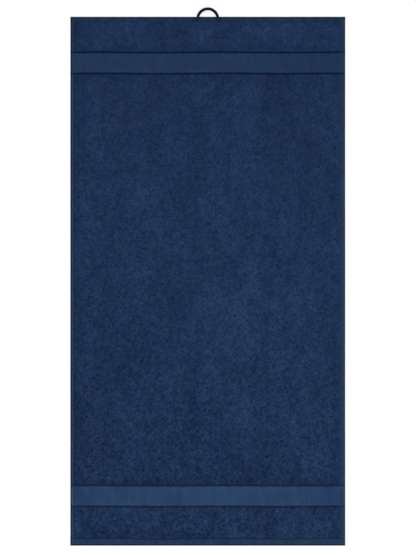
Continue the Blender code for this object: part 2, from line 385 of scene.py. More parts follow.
def cord_lump(x, y, cloth, loop):
    """(height, shade) of the hem over the sewn ends. The height is, at each point, the greatest
    of the bell curves that stand on the points of the nearer end, each as high as the hem must
    rise there. The shade is 1, and less with a painted shadow in the crease round that lump, a
    bell curve of the distance from the end's centre line."""
    edge = cloth.length / 2
    plan = tail_plan(loop, edge, LUMP_POINTS)
    depth = edge - plan[:, 1]
    needed = cord_height(loop, depth) + cord_radius(loop, depth) + loop.cover - cloth.hem_top
    near = (np.abs(np.abs(x) - plan[:, 0].mean()) < LUMP_ACROSS) & (y > edge - LUMP_ALONG)
    apart = np.hypot(np.abs(x[near])[:, None] - plan[:, 0], y[near][:, None] - plan[:, 1])
    lump, shade = np.zeros(np.shape(x)), np.ones(np.shape(x))
    lump[near] = (needed * np.exp(-((apart / LUMP_HALF_WIDTH) ** 2))).max(axis=1)
    shade[near] -= CREASE_SHADOW * hump(apart.min(axis=1), CREASE_DISTANCE, CREASE_HALF_WIDTH)
    return lump, shade


def outline_shade(x, y, cloth):
    """Painted shade of the folds along the outline: darker from each edge up to a reach, and a
    painted highlight on the crest behind it, on a bell curve. Towards the top end the side crests'
    highlights dull."""
    distances = {
        "left": x + cloth.width / 2, "right": cloth.width / 2 - x,
        "bottom": y + cloth.length / 2, "top": cloth.length / 2 - y,
    }
    shade = np.ones(np.shape(x))
    for side, dark, reach, light, crest, half_width in OUTLINE_SHADES:
        distance = distances[side]
        dulled = CREST_HIGHLIGHT_DULL * smooth_step(y, *CREST_HIGHLIGHT_DULLS[side]) if side in CREST_HIGHLIGHT_DULLS else 0.0
        shade *= 1 - dark * (1 - smooth_step(distance, reach - OUTLINE_BLEND, reach + OUTLINE_BLEND))
        shade *= 1 + light * (1 - dulled) * hump(distance, crest, half_width)
    return shade


def cloth_shade(x, y, cloth, side, side_gutter, end, border):
    """Shade of the woven cloth, given how far each place belongs to the sides, their stitch
    lines, the end hems and the borders. The sections' shades along the cloth are blended at the
    sides into those of the side hems, and the shades across and the painted shade and highlights
    of the outline's folds multiply them. In the grooves and stitch lines these shades are painted
    shade and light. A border has a painted highlight by its lower edge and darkens towards its ends."""
    rows, columns = row_joins(cloth), column_joins(cloth)
    along = stepped(y, rows, ROW_SHADES)
    side_along = stepped(y, rows, SIDE_ROW_SHADES)
    lower = weight(y, rows, ROW_KINDS, "lower border")
    side_along *= 1 + (np.where(x < 0, *BORDER_AT_HEMS) - 1) * lower
    shade = along + (side_along - along) * side
    across = stepped(x, columns, COLUMN_SHADES) - 1
    across *= (1 - SIDE_SHADE_LOSS * end) * (1 - border)
    shade *= 1 + across + GUTTER_AT_BORDER * side_gutter * border
    shade *= 1 - BORDER_FADE * lower * smooth_step(np.abs(x), *LOWER_FADE_ZONE) * (1 - side)
    shade *= 1 - BORDER_FADE * (border - lower) * smooth_step(x, *UPPER_FADE_ZONE) * (1 - side)
    light, inward, half_width = BORDER_EDGE_HIGHLIGHT
    for row in BORDERS:
        shade *= 1 + light * hump(y, rows[row] + inward, half_width) * (1 - side)
    return shade * outline_shade(x, y, cloth)


def cloth_heights(x, y, cloth, loop):
    """(top, underside, shade) of the woven cloth at places of its flat layout.

    Each face is stepped along the cloth from section to section and blended at the sides into
    the side hems. Hems get puckers, borders get ripples and a raised line near each edge, the
    hem rises over the cord's ends, and both faces round off together at the outline. The shade
    holds painted shade and light, with a painted shadow in the crease round the cord's ends."""
    rows, columns = row_joins(cloth), column_joins(cloth)
    bare, woven = (cloth.ground_top, cloth.ground_under), (cloth.border_top, cloth.border_under)
    heights = {
        "hem": (cloth.hem_top, 0.0), "gutter": (cloth.gutter_top, cloth.gutter_under),
        "ground": bare, "groove": bare, "lower border": woven, "upper border": woven,
    }
    tops, unders = zip(*(heights[kind] for kind in ROW_KINDS))
    top, under = stepped(y, rows, tops), stepped(y, rows, unders)
    side = weight(x, columns, COLUMN_KINDS, "side hem")
    end = weight(y, rows, ROW_KINDS, "hem")
    side_gutter = weight(x, columns, COLUMN_KINDS, "side gutter") * (1 - SIDE_GUTTER_LOSS * end)
    gutter = weight(y, rows, ROW_KINDS, "gutter")
    border = weight(y, rows, ROW_KINDS, "lower border", "upper border")

    top += (cloth.side_hem_top - top) * side + (cloth.gutter_top - top) * side_gutter
    top += (cloth.corner_top - cloth.side_hem_top) * side * end
    under += (cloth.gutter_under - under) * side_gutter - under * side

    top += layered_noise(x, y, PUCKERS) * np.maximum(np.maximum(side, end), gutter)
    top += layered_noise(x, y, RIPPLES) * border * (1 - side)
    height, inward, half_width = BORDER_LINE
    for row in BORDERS:
        for line in (rows[row] + inward, rows[row + 1] - inward):
            top += height * hump(y, line, half_width) * (1 - side)
    lump, crease = cord_lump(x, y, cloth, loop)
    top += lump

    inward = np.minimum(cloth.width / 2 - np.abs(x), cloth.length / 2 - np.abs(y))
    rounding = FOLD_EDGE_SHARE + (1 - FOLD_EDGE_SHARE) * quarter_round(inward, FOLD_ROUND)
    middle, half = (top + under) / 2, (top - under) / 2 * rounding
    shade = crease * cloth_shade(x, y, cloth, side, side_gutter, end, border)
    return middle + half, middle - half, shade


def bowed(x, y, cloth):
    """Places of the flat layout moved by the bows: rows along the cloth, fading out at its
    ends, and the side edges across it, fading out at its middle."""
    inward = cloth.length / 2 - np.abs(y)
    return (
        x + side_bow(y) * smooth_step(np.abs(x), *SIDE_BOW_ZONE),
        y + row_bow(x) * smooth_step(inward, 0.0, ROW_BOW_RUN),
    )


# --- Meshes from arrays ---


def quads_between(index):
    """Quads of a grid of vertex numbers, facing +Z where columns run along +X and rows along +Y."""
    return np.stack(
        [index[:-1, :-1], index[:-1, 1:], index[1:, 1:], index[1:, :-1]], axis=-1
    ).reshape(-1, 4)


def ring_numbers(rings, sides):
    """Vertex numbers of a tube's rings, the first of each ring repeated at its end."""
    index = np.arange(rings * sides).reshape(rings, sides)
    return np.concatenate([index, index[:, :1]], axis=1)


def spokes(sides, aside, upward):
    """Directions from each centre to the points of a ring round it: the cosine of the turn
    times the direction aside plus its sine times the one upward."""
    turn = math.tau * np.arange(sides) / sides
    return np.cos(turn)[:, None] * aside[..., None, :] + np.sin(turn)[:, None] * upward[..., None, :]


def unit(vectors):
    """Vectors brought to a length of 1."""
    return vectors / np.linalg.norm(vectors, axis=-1, keepdims=True)


def lines_to_edge(run, count):
    """Distances of grid lines from an edge that rounds off over a run, evenly spread on its
    quarter circle."""
    return run * (1 - np.cos(np.linspace(0.0, math.pi / 2, count)))


def mesh_object(name, points, faces, map_places):
    """An object in the scene from an array of points and arrays of faces, each with its own
    number of corners, shaded smooth, with the bake map's place of each corner."""
    mesh = bpy.data.meshes.new(name)
    corners = np.concatenate([part.ravel() for part in faces]).astype(np.int32)
    sizes = np.concatenate([np.full(len(part), part.shape[1]) for part in faces])
    mesh.vertices.add(len(points))
    mesh.vertices.foreach_set("co", np.asarray(points, np.float32).ravel())
    mesh.loops.add(len(corners))
    mesh.loops.foreach_set("vertex_index", corners)
    mesh.polygons.add(len(sizes))
    mesh.polygons.foreach_set("loop_start", (np.cumsum(sizes) - sizes).astype(np.int32))
    mesh.update(calc_edges=True)
    mesh.shade_smooth()
    mesh.uv_layers.new(name=BAKE_MAP).uv.foreach_set(
        "vector", np.asarray(map_places, np.float32).ravel()
    )
    piece = bpy.data.objects.new(name, mesh)
    bpy.context.scene.collection.objects.link(piece)
    return piece


def set_shade(piece, values, name=SHADE):
    """Stores a shade for each vertex, or one for all, which the material multiplies by: painted
    shade and light with the piece's own tone. The pile's broad tone and painted light is stored
    under its own name as how much lighter the vertex is, and is 0 on a piece that has none."""
    layer = piece.data.attributes.new(name, "FLOAT", "POINT")
    layer.data.foreach_set("value", np.full(len(piece.data.vertices), values, np.float32))


def flat_map(x, y, on_back):
    """Bake map of a flat piece's corners: plan view of its front in one half of the square and
    of its back in the other, side by side if it is long and one over the other if it is wide."""
    wide, long = np.ptp(x), np.ptp(y)
    across = MAP_MARGIN + (1 - 2 * MAP_MARGIN) * (x - x.min()) / wide
    along = MAP_MARGIN + (1 - 2 * MAP_MARGIN) * (y - y.min()) / long
    if long > wide:
        across = (across + on_back) / 2
    else:
        along = (along + on_back) / 2
    return np.stack([across, along], axis=-1)


def slab_object(name, front, back):
    """A closed body between two grids of points: the front's quads face up, the back's face
    down, and a rim of quads joins their outlines."""
    rows, columns = front.shape[:2]
    index = np.arange(rows * columns).reshape(rows, columns)
    below = index + rows * columns
    ring = np.concatenate([index[0, :-1], index[:-1, -1], index[-1, :0:-1], index[:0:-1, 0]])
    following = np.roll(ring, -1)
    rim = np.stack([ring + rows * columns, following + rows * columns, following, ring], axis=-1)
    upper, lower = quads_between(index), quads_between(below)[:, ::-1]
    points = np.concatenate([front.reshape(-1, 3), back.reshape(-1, 3)])
    faces = np.concatenate([upper, lower, rim])
    on_back = np.concatenate([np.zeros(len(upper)), np.ones(len(lower)), np.zeros(len(rim))])
    x, y, _ = np.moveaxis(points[faces], -1, 0)
    return mesh_object(name, points, [faces], flat_map(x, y, on_back[:, None]))


def paint_faces(piece, finishes, kinds):
    """Gives the piece the finishes, a material for each kind of face, and each face its own."""
    found, number = np.unique(kinds, return_inverse=True)
    for kind in found:
        piece.data.materials.append(finishes[str(kind)])
    piece.data.polygons.foreach_set("material_index", number.astype(np.int32))


def fit_to_frame(piece, slot, *nodes):
    """The piece rides on the body and stands for the nodes, which are hidden. The slot is not used."""
    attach(piece, BODY)
    if nodes:
        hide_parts(*nodes)


# --- Node groups and materials ---


def set_inputs(tree, node, inputs):
    """Gives each named input its value, or a link from another node's socket."""
    for name, value in inputs.items():
        if isinstance(value, bpy.types.NodeSocket):
            tree.links.new(value, node.inputs[name])
        else:
            node.inputs[name].default_value = value


def add_node(tree, kind, inputs=None, **settings):
    """A node with its settings and its inputs."""
    node = tree.nodes.new(kind)
    for name, value in settings.items():
        setattr(node, name, value)
    set_inputs(tree, node, inputs or {})
    return node


def maths(tree, operation, first, second=0.0, third=0.0):
    """The output of a Math node."""
    inputs = {0: first, 1: second, 2: third}
    return add_node(tree, "ShaderNodeMath", inputs, operation=operation).outputs[0]


def product(tree, value, *factors):
    """A value multiplied by each factor."""
    for factor in factors:
        value = maths(tree, "MULTIPLY", value, factor)
    return value


def varied(tree, value, amount):
    """1 plus the amount times how far a value from 0 to 1 is above the middle."""
    return maths(tree, "MULTIPLY_ADD", maths(tree, "SUBTRACT", value, 0.5), amount, 1.0)


def vector_maths(tree, operation, first, second=(0.0, 0.0, 0.0), scale=1.0):
    """The output of a Vector Math node, whose fourth socket is the scale."""
    inputs = {0: first, 1: second, 3: scale}
    return add_node(tree, "ShaderNodeVectorMath", inputs, operation=operation).outputs[0]


def mapped(tree, value, start, end, low, high):
    """A value taken from the range start to end to the range low to high, on a smooth S."""
    inputs = {"Value": value, "From Min": start, "From Max": end, "To Min": low, "To Max": high}
    node = add_node(tree, "ShaderNodeMapRange", inputs, interpolation_type="SMOOTHSTEP")
    return node.outputs["Result"]


def noise(tree, place, scale, detail=2.0):
    """The outputs of a noise from about 0 to 1 at a place, its scale in waves a metre."""
    inputs = {"Vector": place, "Scale": scale, "Detail": detail}
    return add_node(tree, "ShaderNodeTexNoise", inputs).outputs


def noise_vector(tree, place, scale, detail=2.0):
    """Three noises from about -0.5 to 0.5 at a place."""
    hues = noise(tree, place, scale, detail)["Color"]
    return vector_maths(tree, "SUBTRACT", hues, (0.5, 0.5, 0.5))


def new_group(name, inputs):
    """(group, its inputs by name, the place on the piece), for inputs given by name and
    default. A number's socket is a value's and any other a colour's."""
    group = bpy.data.node_groups.new(name, "ShaderNodeTree")
    for label, default in inputs.items():
        kind = "NodeSocketFloat" if isinstance(default, float) else "NodeSocketColor"
        group.interface.new_socket(label, in_out="INPUT", socket_type=kind).default_value = default
    place = group.nodes.new("ShaderNodeTexCoord").outputs["Object"]
    return group, group.nodes.new("NodeGroupInput").outputs, place


def put_out(group, kind="NodeSocketFloat", **results):
    """The group, once it has an output socket of the kind for each named result."""
    for label in results:
        group.interface.new_socket(label, in_out="OUTPUT", socket_type=kind)
    set_inputs(group, group.nodes.new("NodeGroupOutput"), results)
    return group


YARN_SCALES = (  # amount, waves a metre across, pace along, detail
    ("Fibres", 520.0, 1.0, 2.0),
    ("Loops", 240.0, 1.0, 1.0),
    ("Clumps", 105.0, 0.8, 1.0),
    ("Patches", 45.0, 0.6, 1.0),
    ("Drifts", 21.0, 0.5, 1.0),
    ("Broad", 8.0, 0.6, 1.0),
)
TINT_SCALE = 48.0
TINT_SHARES = (0.8, 0.35, 0.3)  # how much of the tint each primary gets
BROAD_FROM = 3  # the first of these scales that goes with the broad tone and painted light
FOLLOWS_SHADE = (1.38, 0.97, 0.66)  # power of the shade that each primary is multiplied by, so painted shade deepens hollows' blue and painted light pales tips
FOLLOWS_TONE_AND_LIGHT = (1.04, 0.97, 0.83)  # and of the broad tone and painted light


def yarn_shade_group():
    """Group that varies a yarn's colour. The shade, with its painted shade and light, is
    multiplied by 1 plus each fine amount times a noise of its own scale, and the broad tone and
    painted light by the same for the broad ones. Each primary is multiplied by a power of both,
    least for blue, so that painted shade keeps the hollows blue and painted light pales the tips.
    Tint varies the three primaries by a noise each, so that the hue drifts a little."""
    group, given, place = new_group(
        "Yarn Shade",
        {
            "Colour": (0.02, 0.04, 0.09, 1.0), "Shade": 1.0, "Tone And Light": 1.0,
            **dict.fromkeys([amount for amount, *_ in YARN_SCALES], 0.2), "Tint": 0.2,
        },
    )
    factors = [given["Shade"], given["Tone And Light"]]
    for number, (amount, scale, pace, detail) in enumerate(YARN_SCALES):
        stretched = vector_maths(group, "MULTIPLY", place, (1.0, pace, 1.0))
        change = varied(group, noise(group, stretched, scale, detail)["Fac"], given[amount])
        broad = number >= BROAD_FROM
        factors[broad] = product(group, factors[broad], change)
    drift = vector_maths(group, "MULTIPLY", noise_vector(group, place, TINT_SCALE), TINT_SHARES)
    drift = vector_maths(group, "SCALE", drift, scale=given["Tint"])
    tinted = vector_maths(group, "ADD", drift, (1.0, 1.0, 1.0))
    colour_now = vector_maths(group, "MULTIPLY", given["Colour"], tinted)
    for factor, follows in zip(factors, (FOLLOWS_SHADE, FOLLOWS_TONE_AND_LIGHT)):
        powers = {axis: maths(group, "POWER", factor, power) for axis, power in zip("XYZ", follows)}
        shaded = add_node(group, "ShaderNodeCombineXYZ", powers).outputs["Vector"]
        colour_now = vector_maths(group, "MULTIPLY", colour_now, shaded)
    return put_out(group, "NodeSocketColor", Colour=colour_now)


SWAY_SCALE = 0.55  # waves of the sway to a cell


def swayed_cells(tree, place, cell, sway):
    """A place counted in cells of the given size, moved about by a noise times the sway."""
    cells = vector_maths(tree, "SCALE", place, scale=maths(tree, "DIVIDE", 1.0, cell))
    moves = vector_maths(tree, "SCALE", noise_vector(tree, cells, SWAY_SCALE, 1.0), scale=sway)
    return vector_maths(tree, "ADD", cells, moves)


LOOP_STRETCH = (1.35, 1.0, 0.0)  # a loop is this much narrower than long
LOOP_RADIUS, YARN_HALF = 0.39, 0.30  # half a loop's length and half its yarn, in cells
SIZE_SPREAD = 0.35  # how much smaller one loop is than another
TWISTS, TWIST_LEAN, TWIST_DEPTH = 11.0, 14.0, 0.18  # the twisted yarn's ridges round one loop
LOOP_RISE, LOOP_MIDDLE = 1.15, 0.62  # slope of a loop from its near to its far end
LOOP_LAYERS = (  # cells, shift, height
    (1.00, 0.0, 0.62), (0.95, 17.3, 0.72), (0.90, 41.9, 0.81), (0.86, 63.1, 0.90), (0.82, 88.7, 1.0),
)
SHIFT_ALONG = 0.7  # share of a layer's shift that it has along the cloth too
LOOP_HEIGHTS, LOOP_TIP_SHADE = (0.15, 0.80), 1.25  # a loop's painted shade rises between these heights, to this painted highlight on its tip
PIT_CENTRE, PIT_RIM_SHADE = 0.05, 1.06  # a pit's darkest painted shade, in cells, and the shade outside it
PIT_RELIEF = 0.3  # share of the pile's relief that is the pits'


def loop_layer(tree, cells, scale, shift):
    """(height, chance) of one layer of loops, one to a cell of a Voronoi pattern. A loop is a
    ring of twisted yarn, longer than wide, turned by an angle of its own. Its height is 1 on
    the middle of the yarn at the loop's far end and less at the near one, and chance is the
    cell's random value."""
    moved = vector_maths(tree, "ADD", cells, (shift, SHIFT_ALONG * shift, 0.0))
    voronoi = {"Vector": moved, "Scale": scale}
    cell = add_node(tree, "ShaderNodeTexVoronoi", voronoi, voronoi_dimensions="2D").outputs
    chances = add_node(tree, "ShaderNodeSeparateXYZ", {0: cell["Color"]}).outputs
    inside = vector_maths(tree, "SUBTRACT", moved, cell["Position"])
    turn = {"Vector": inside, "Angle": maths(tree, "MULTIPLY", chances["X"], math.tau)}
    turned = add_node(tree, "ShaderNodeVectorRotate", turn, rotation_type="Z_AXIS").outputs["Vector"]
    ring = vector_maths(tree, "MULTIPLY", turned, LOOP_STRETCH)
    parts = add_node(tree, "ShaderNodeSeparateXYZ", {0: ring}).outputs
    long = add_node(tree, "ShaderNodeVectorMath", {0: ring}, operation="LENGTH").outputs["Value"]
    larger = maths(tree, "MULTIPLY_ADD", chances["Z"], SIZE_SPREAD, 1 - SIZE_SPREAD / 2)
    out = product(tree, long, larger)
    aside = maths(tree, "SUBTRACT", out, LOOP_RADIUS)
    yarn = mapped(tree, maths(tree, "ABSOLUTE", aside), 0.0, YARN_HALF, 1.0, 0.0)
    around = product(tree, maths(tree, "ARCTAN2", parts["Y"], parts["X"]), TWISTS)
    ridges = maths(tree, "SINE", maths(tree, "MULTIPLY_ADD", aside, TWIST_LEAN, around))
    twisted = product(tree, yarn, maths(tree, "MULTIPLY_ADD", ridges, TWIST_DEPTH, 1.0))
    tilt = maths(tree, "MULTIPLY_ADD", parts["Y"], LOOP_RISE, LOOP_MIDDLE)
    return product(tree, twisted, tilt), chances["Y"]


def terry_loop_group():
    """Group of the pile's loops and pits. Layers of loops, each about as large as its cell,
    lie over each other, and the highest shows. The pits, where loops part, are round the
    points of cells of the pit spacing. Height is about 1 on the upper loops. Shade paints shade
    into the gaps between loops and into the pits and a highlight onto the loops' tips, and varies
    from loop to loop."""
    group, given, place = new_group(
        "Terry Loops",
        {
            "Loop Size": 0.0017, "Sway": 0.9, "Gap Shade": 0.42, "Loop Contrast": 0.42,
            "Pit Spacing": 0.0046, "Pit Size": 0.40, "Pit Shade": 0.74,
        },
    )
    cells = swayed_cells(group, place, given["Loop Size"], given["Sway"])
    height, chance = 0.0, 0.5
    for scale, shift, high in LOOP_LAYERS:
        layer, own_chance = loop_layer(group, cells, scale, shift)
        raised = product(group, layer, high)
        covers = maths(group, "GREATER_THAN", raised, height)
        change = maths(group, "SUBTRACT", own_chance, chance)
        chance = maths(group, "MULTIPLY_ADD", covers, change, chance)
        height = maths(group, "MAXIMUM", height, raised)
    apart = swayed_cells(group, place, given["Pit Spacing"], given["Sway"])
    pits = add_node(group, "ShaderNodeTexVoronoi", {"Vector": apart, "Scale": 1.0}).outputs["Distance"]
    full = mapped(group, pits, PIT_CENTRE, given["Pit Size"], 0.0, 1.0)
    pit_shade = mapped(group, full, 0.0, 1.0, given["Pit Shade"], PIT_RIM_SHADE)
    yarn_shade = mapped(group, height, *LOOP_HEIGHTS, given["Gap Shade"], LOOP_TIP_SHADE)
    own_shade = varied(group, chance, given["Loop Contrast"])
    loops = product(group, height, 1 - PIT_RELIEF)
    relief = maths(group, "MULTIPLY_ADD", full, PIT_RELIEF, loops)
    return put_out(group, Height=relief, Shade=product(group, yarn_shade, own_shade, pit_shade))


STREAK_SCALES = (120.0, 9.0, 0.0)  # waves a metre across and along
THREAD_FULL, THREAD_SHADE = 0.5, 1.1  # from this height up, a thread has this shade; lower, the gaps between threads have painted shade


def flat_weave_group():
    """Group of a fine plain weave: the product of two rectified sines, one thread pitch long
    across and along the cloth, and streaks along it from a stretched noise. Its shade paints
    the gaps between threads darker."""
    group, given, place = new_group(
        "Flat Weave", {"Across": 0.00055, "Along": 0.00055, "Streaks": 0.10, "Gap Shade": 0.75}
    )
    parts = add_node(group, "ShaderNodeSeparateXYZ", {0: place}).outputs
    waves = []
    for axis, pitch in (("X", "Across"), ("Y", "Along")):
        turned = maths(group, "DIVIDE", product(group, parts[axis], math.pi), given[pitch])
        waves.append(maths(group, "ABSOLUTE", maths(group, "SINE", turned)))
    height = product(group, *waves)
    stretched = vector_maths(group, "MULTIPLY", place, STREAK_SCALES)
    streaks = varied(group, noise(group, stretched, 1.0)["Fac"], given["Streaks"])
    threads = mapped(group, height, 0.0, THREAD_FULL, given["Gap Shade"], THREAD_SHADE)
    return put_out(group, Height=height, Shade=product(group, threads, streaks))


def spun_fibre_group():
    """Group of the fibres of a thread or a strand: a fine noise as height, and a shade that
    rises with it."""
    group, given, place = new_group("Spun Fibres", {"Fibre Scale": 2600.0, "Contrast": 0.3})
    fibres = noise(group, place, given["Fibre Scale"], 1.0)["Fac"]
    return put_out(group, Height=fibres, Shade=varied(group, fibres, given["Contrast"]))


PATTERNS = {
    "Terry Loops": terry_loop_group, "Flat Weave": flat_weave_group, "Spun Fibres": spun_fibre_group,
    "Yarn Shade": yarn_shade_group,
}
SHEEN_TINT, SHEEN_ROUGHNESS = (0.30, 0.48, 0.90, 1.0), 0.5
SPECULAR = 0.03
TIP_SMOOTHNESS = 0.08  # how much less rough tips are than hollows


def placed_pattern(tree, name, values):
    """A node of the named group, which the first material that asks for it builds."""
    group = bpy.data.node_groups.get(name) or PATTERNS[name]()
    return add_node(tree, "ShaderNodeGroup", values, node_tree=group)


def new_material(name):
    """(material, its node tree, its shader)."""
    material = bpy.data.materials.new(name)
    material.use_nodes = True
    return material, material.node_tree, material.node_tree.nodes["Principled BSDF"]


def yarn_material(name, base, pattern, values, noises, roughness, relief, sheen=0.0):
    """A yarn's finish: the shade of a pattern group, the piece's own shade, its broad tone and
    painted light, and the yarn's noises multiply its colour, and the pattern's height is its bump.
    Both shades carry painted shade and light. Tips are a little less rough than hollows."""
    material, tree, shader = new_material(name)
    surface = placed_pattern(tree, pattern, values).outputs
    own = add_node(tree, "ShaderNodeAttribute", attribute_name=SHADE).outputs["Fac"]
    lighter = add_node(tree, "ShaderNodeAttribute", attribute_name=TONE_AND_LIGHT).outputs["Fac"]
    given = {
        "Colour": (*base, 1.0), "Shade": product(tree, surface["Shade"], own),
        "Tone And Light": maths(tree, "ADD", lighter, 1.0), **noises,
    }
    bump = add_node(tree, "ShaderNodeBump", {"Height": surface["Height"], "Distance": relief})
    set_inputs(
        tree,
        shader,
        {
            "Base Color": placed_pattern(tree, "Yarn Shade", given).outputs["Colour"],
            "Roughness": maths(tree, "MULTIPLY_ADD", surface["Height"], -TIP_SMOOTHNESS, roughness),
            "Normal": bump.outputs["Normal"],
            "Sheen Weight": sheen,
            "Sheen Roughness": SHEEN_ROUGHNESS,
            "Sheen Tint": SHEEN_TINT,
            "Specular IOR Level": SPECULAR,
        },
    )
    return material


def variation(*amounts, tint=0.0):
    """Amounts for the yarn's noises, from the finest on, and 0 for the rest."""
    names = [name for name, *_ in YARN_SCALES]
    return {**dict.fromkeys(names, 0.0), **dict(zip(names, amounts)), "Tint": tint}


# --- Woven cloth ---


JOIN_LINES, JOIN_SPREAD = 5, 0.6  # grid lines at a join, over this many slopes to each side
FOLD_LINES = 6
ROW_STEPS = {
    "hem": 0.0010, "gutter": 0.0008, "ground": 0.030, "groove": 0.0014,
    "lower border": 0.0022, "upper border": 0.0022,
}
COLUMN_STEP = 0.0025
SIDE_STEP = 0.0011
TAIL_STEP = 0.0009
TAIL_ZONE = (0.0135, 0.0290)  # how far out the sewn ends of the loop lie
HEM_NOISES = (0.30, 0.30, 0.15, 0.25, 0.10, 0.10)  # of the yarn's scales, finest first
WEAVE_INPUTS = ("Across", "Along", "Streaks", "Gap Shade")
WEAVES = (  # kind of face, colour, weave inputs, noises, tint, roughness, relief, sheen
    ("ground", "ground", (0.0008, 0.0008, 0.25, 0.7), (0.3, 0.4, 0.3, 0.2), 0.0, 0.95, 0.0002, 0.0),
    ("hem", "end_hem", (0.0007, 0.0007, 0.7, 0.75), HEM_NOISES, 0.15, 0.92, 0.0002, 0.03),
    ("side hem", "side_hem", (0.0007, 0.0007, 0.0, 0.75), HEM_NOISES, 0.15, 0.92, 0.0002, 0.03),
    (
        "lower border", "lower_border", (0.00042, 0.00060, 0.25, 0.85),
        (0.08, 0.12, 0.20, 0.40, 0.35, 0.10), 0.12, 0.85, 0.0001, 0.03,
    ),
    (
        "upper border", "upper_border", (0.00042, 0.00060, 0.12, 0.85),
        (0.25, 0.30, 0.25, 0.25, 0.10, 0.10), 0.12, 0.85, 0.0001, 0.03,
    ),
)


def section_lines(joins, steps):
    """Places of grid lines: a few across each inner join, closer ones round each outline fold,
    and even ones between, no further apart than the section's step."""
    at_join = np.linspace(-JOIN_SPREAD, JOIN_SPREAD, JOIN_LINES) * JOIN_SLOPE
    at_fold = lines_to_edge(FOLD_ROUND, FOLD_LINES)
    groups = [joins[0] + at_fold, *(join + at_join for join in joins[1:-1]), joins[-1] - at_fold[::-1]]
    lines = [groups[0]]
    for before, after, step in zip(groups[:-1], groups[1:], steps):
        count = max(1, math.ceil((after[0] - before[-1]) / step))
        lines += [np.linspace(before[-1], after[0], count + 1)[1:-1], after]
    return np.concatenate(lines)


def cloth_finishes(colours):
    """The finish of each kind of face of the woven cloth."""
    return {
        kind: yarn_material(
            f"{yarn}_weave", getattr(colours, yarn), "Flat Weave", dict(zip(WEAVE_INPUTS, threads)),
            variation(*noises, tint=tint), roughness, relief, sheen,
        )
        for kind, yarn, threads, noises, tint, roughness, relief, sheen in WEAVES
    }


class HANDTOWEL_OT_weave_cloth(bpy.types.Operator):
    """Weave the cloth with its hems and borders"""

    bl_idname = "handtowel.weave_cloth"
    bl_label = "Woven Cloth"

    def execute(self, context):
        cloth, loop = context.scene.towel_cloth, context.scene.towel_loop
        rows = row_joins(cloth)
        left, left_hem, left_weave, right_weave, right_hem, right = column_joins(cloth)
        inner, outer = TAIL_ZONE
        runs = (  # where each starts across the cloth, and the step of its grid lines
            (left, SIDE_STEP), (left_hem, SIDE_STEP), (left_weave, COLUMN_STEP),
            (-outer, TAIL_STEP), (-inner, COLUMN_STEP), (inner, TAIL_STEP), (outer, COLUMN_STEP),
            (right_weave, SIDE_STEP), (right_hem, SIDE_STEP),
        )
        starts, steps = zip(*runs)
        x, y = np.meshgrid(
            section_lines((*starts, right), steps),
            section_lines(rows, [ROW_STEPS[kind] for kind in ROW_KINDS]),
        )
        top, under, shade = cloth_heights(x, y, cloth, loop)
        places = bowed(x, y, cloth)
        piece = slab_object(
            "woven_cloth", np.stack([*places, top], axis=-1), np.stack([*places, under], axis=-1)
        )
        set_shade(piece, np.tile(shade.ravel(), 2))

        centres = np.zeros(len(piece.data.polygons) * 3, np.float32)
        piece.data.polygons.foreach_get("center", centres)
        across, along, _ = centres.reshape(-1, 3).T
        kind = np.array(ROW_KINDS)[np.clip(np.searchsorted(rows, along) - 1, 0, len(ROW_KINDS) - 1)]
        kind[kind == "gutter"] = "hem"
        kind[kind == "groove"] = "ground"
        kind[(across < left_weave) | (across > right_weave)] = "side hem"
        paint_faces(piece, cloth_finishes(context.scene.towel_colours), kind)
        fit_to_frame(piece, "terry", "towel_cloth")
        return {"FINISHED"}


# --- Pile ---


PILE_WAVES = (  # height, length across, length along, phase
    (0.00014, 0.210, 0.380, 0.4),
    (0.00010, 0.095, -0.240, 1.9),
    (0.00008, -0.140, 0.115, 3.1),
)
PILE_SECTIONS = (  # name, section, strips, seed, patches, and at each end painted shade: how much darker, how far (painted light where negative)
    ("bottom_end_pile", 2, 1, 1, 0.12, (0.11, 0.014), (-0.12, 0.003)),
    ("field_pile", 6, 3, 2, 0.0, (0.15, 0.016), (0.15, 0.018)),
    ("top_end_pile", 10, 1, 3, 0.12, (0.08, 0.012), (-0.10, 0.003)),
)
SIDE_EDGE_SHADING = ((0.12, 0.013), (-0.12, 0.003))  # the same at the left and the right edge: painted shade on the left, painted light on the right
PILE_NOISES = (0.22, 0.36, 0.30, 0.28, 0.36, 0.38)  # of the yarn's scales, finest first
EDGE_LINES = 5
CLUMP_CELL, TUFT_CELL = 0.0050, 0.0026
FRONT_SEED, BACK_SEED = 21, 31
SWAY = 0.30  # how far loops stand off their places, in pitches
RAGGED = ((0.00028, 0.0042, 1.0, 41),)  # how the pile's edge wavers along the cloth
RIM = 0.0002  # thickness of the pile at its foot
PATCH_CELL, PATCH_SEED = 0.014, 47
HOLLOW_SHADE_GROWTH = 0.80  # how fast the painted shade of hollows and tips grows stronger towards the bottom end, a metre
EDGE_DARKNESS = 0.30  # painted shade of the pile where it rounds down at its edge
PILE_STREAKS = ((0.045, 0.011, 1 / 8, 43), (0.045, 0.034, 1 / 3, 45))  # strength, width, pace, seed
STREAK_GROWTH = (-0.5, 2.5)  # of their strength, with the place along the cloth and its square
TOP_END_DARKENING = 0.05  # how much darker the pile gets towards the top end, a metre
TONE_AND_LIGHT_SPOTS = (  # x, y, half width, half length, how much lighter
    # the first, broadest spot is a painted pool of light round the middle; the rest are lighter and
    # darker patches
    (0.070, 0.000, 0.090, 0.260, 0.08),
    (0.105, 0.060, 0.026, 0.045, 0.10),
    (0.145, -0.010, 0.020, 0.024, 0.06),
    (0.076, -0.070, 0.028, 0.050, 0.05),
    (0.120, 0.327, 0.030, 0.050, 0.05),
    (-0.130, -0.110, 0.030, 0.030, 0.04),
    (0.010, 0.448, 0.030, 0.012, 0.06),
    (0.030, -0.465, 0.018, 0.022, 0.12),
    (-0.245, -0.280, 0.028, 0.120, -0.14),
    (-0.012, 0.244, 0.016, 0.022, -0.07),
    (0.016, -0.336, 0.020, 0.018, -0.07),
)


